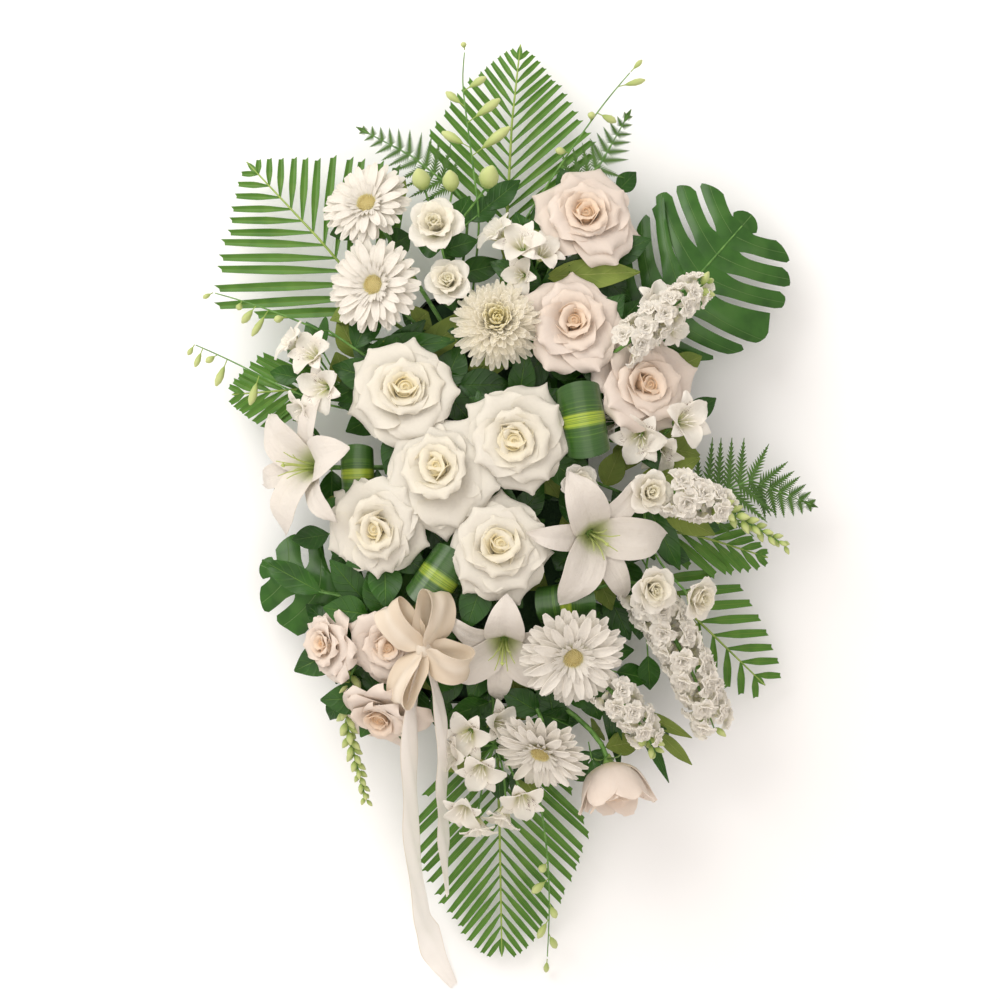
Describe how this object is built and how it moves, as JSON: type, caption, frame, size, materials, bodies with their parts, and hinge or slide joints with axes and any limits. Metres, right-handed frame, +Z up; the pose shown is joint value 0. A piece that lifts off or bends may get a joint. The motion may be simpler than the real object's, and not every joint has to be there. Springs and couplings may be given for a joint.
{
  "type": "funeral flower arrangement",
  "caption": "Long oval funeral spray of white and blush blooms, palm, fern and monstera in floral foam on a shallow tray, with a trailing satin bow.",
  "frame": {"origin": "centre of the tray's flat underside, which rests on the surface", "axes": "+Z up; +Y towards the tall palm at the head end, the ribbon tails trail towards -Y; +X to the right seen from above"},
  "size_m": [0.7077, 1.082, 0.2062],
  "materials": {
    "white_petals": "matte petal, slightly velvety",
    "blush_petals": "matte petal, cream to blush",
    "yellow_centre": "matte florets and pollen",
    "petal_green": "satin throat, calyx or pistil",
    "green_stem": "satin, waxy",
    "palm_leaf": "satin, waxy",
    "dark_leaf": "glossy, waxy",
    "fern_leaf": "satin",
    "orchid_buds": "satin buds",
    "floral_foam": "matte, open-celled, soaked",
    "tray_plastic": "moulded, slightly textured",
    "satin_ribbon": "satin weave, glossy",
    "pick_wood": "raw softwood"
  },
  "bodies": {
    "root": {"tray": "tray_plastic", "foam": "floral_foam", "ribbon_bow": "satin_ribbon", "bow_pick": "pick_wood", "gerbera_1": "white_petals", "gerbera_2": "white_petals", "gerbera_3": "white_petals", "gerbera_4": "white_petals", "chrysanthemum": "white_petals", "rose_4": "white_petals", "rose_5": "white_petals", "rose_6": "white_petals", "rose_7": "white_petals", "rose_8": "white_petals", "lily_1": "white_petals", "lily_2": "white_petals", "lily_3": "white_petals", "lisianthus_top": "white_petals", "lisianthus_right": "white_petals", "alstroemeria_top": "white_petals", "alstroemeria_right": "white_petals", "alstroemeria_left": "white_petals", "alstroemeria_bottom": "white_petals", "stock_upper_right": "white_petals", "stock_lower_right": "white_petals", "stock_lower_middle": "white_petals", "snapdragon_right": "white_petals", "snapdragon_left": "white_petals", "rose_1": "blush_petals", "rose_2": "blush_petals", "rose_3": "blush_petals", "rose_9": "blush_petals", "rose_10": "blush_petals", "rose_11": "blush_petals", "rose_12": "blush_petals", "palm_top": "palm_leaf", "palm_upper_left": "palm_leaf", "palm_bottom": "palm_leaf", "palm_lower_right": "palm_leaf", "palm_right": "palm_leaf", "palm_left": "palm_leaf", "monstera_right": "dark_leaf", "monstera_left": "dark_leaf", "strap_loop_1": "dark_leaf", "strap_loop_2": "dark_leaf", "strap_loop_3": "dark_leaf", "strap_loop_4": "dark_leaf", "foliage_upper_left": "dark_leaf", "foliage_upper": "dark_leaf", "foliage_right": "dark_leaf", "foliage_lower_right": "dark_leaf", "foliage_lower_left": "dark_leaf", "fern_top_left": "fern_leaf", "fern_top_right": "fern_leaf", "fern_right": "fern_leaf", "orchid_top_left": "orchid_buds", "orchid_top_right": "orchid_buds", "orchid_upper_left": "orchid_buds", "orchid_lower_left": "orchid_buds", "orchid_bottom": "orchid_buds"}
  },
  "joints": []
}
